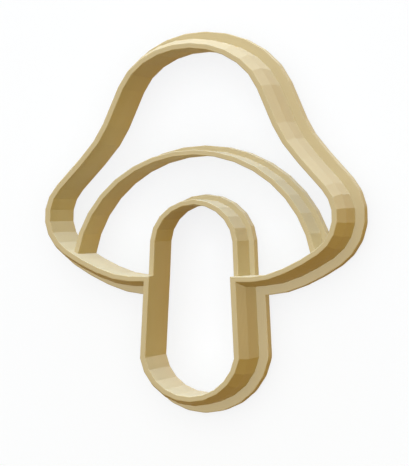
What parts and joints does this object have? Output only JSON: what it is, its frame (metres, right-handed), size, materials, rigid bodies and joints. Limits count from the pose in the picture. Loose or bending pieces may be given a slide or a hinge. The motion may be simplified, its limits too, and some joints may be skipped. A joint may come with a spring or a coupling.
{
  "type": "imprint cutter",
  "caption": "Mushroom-shaped biscuit cutter: a tall tapered cutting wall on a flat grip rim, with lower walls inside that press the gill line and the top of the stalk into the dough.",
  "frame": {"origin": "on the table under the middle of the part, halfway between the crown and the foot of the stalk", "axes": "+X across the mushroom, +Y from the foot of the stalk to the crown, +Z from the grip rim up to the cutting edge"},
  "size_m": [0.068, 0.08, 0.0175],
  "materials": {
    "tan_printed_plastic": "tan polylactide, printed in fine layers, with a satin surface and crisp facets"
  },
  "bodies": {
    "root": {"cap_grip_rim": "tan_printed_plastic", "stalk_grip_rim": "tan_printed_plastic", "cap_cutting_wall": "tan_printed_plastic", "stalk_cutting_wall": "tan_printed_plastic", "gill_imprint_rim": "tan_printed_plastic", "gill_imprint_wall": "tan_printed_plastic", "stalk_top_imprint_rim": "tan_printed_plastic", "stalk_top_imprint_wall": "tan_printed_plastic"}
  },
  "joints": []
}
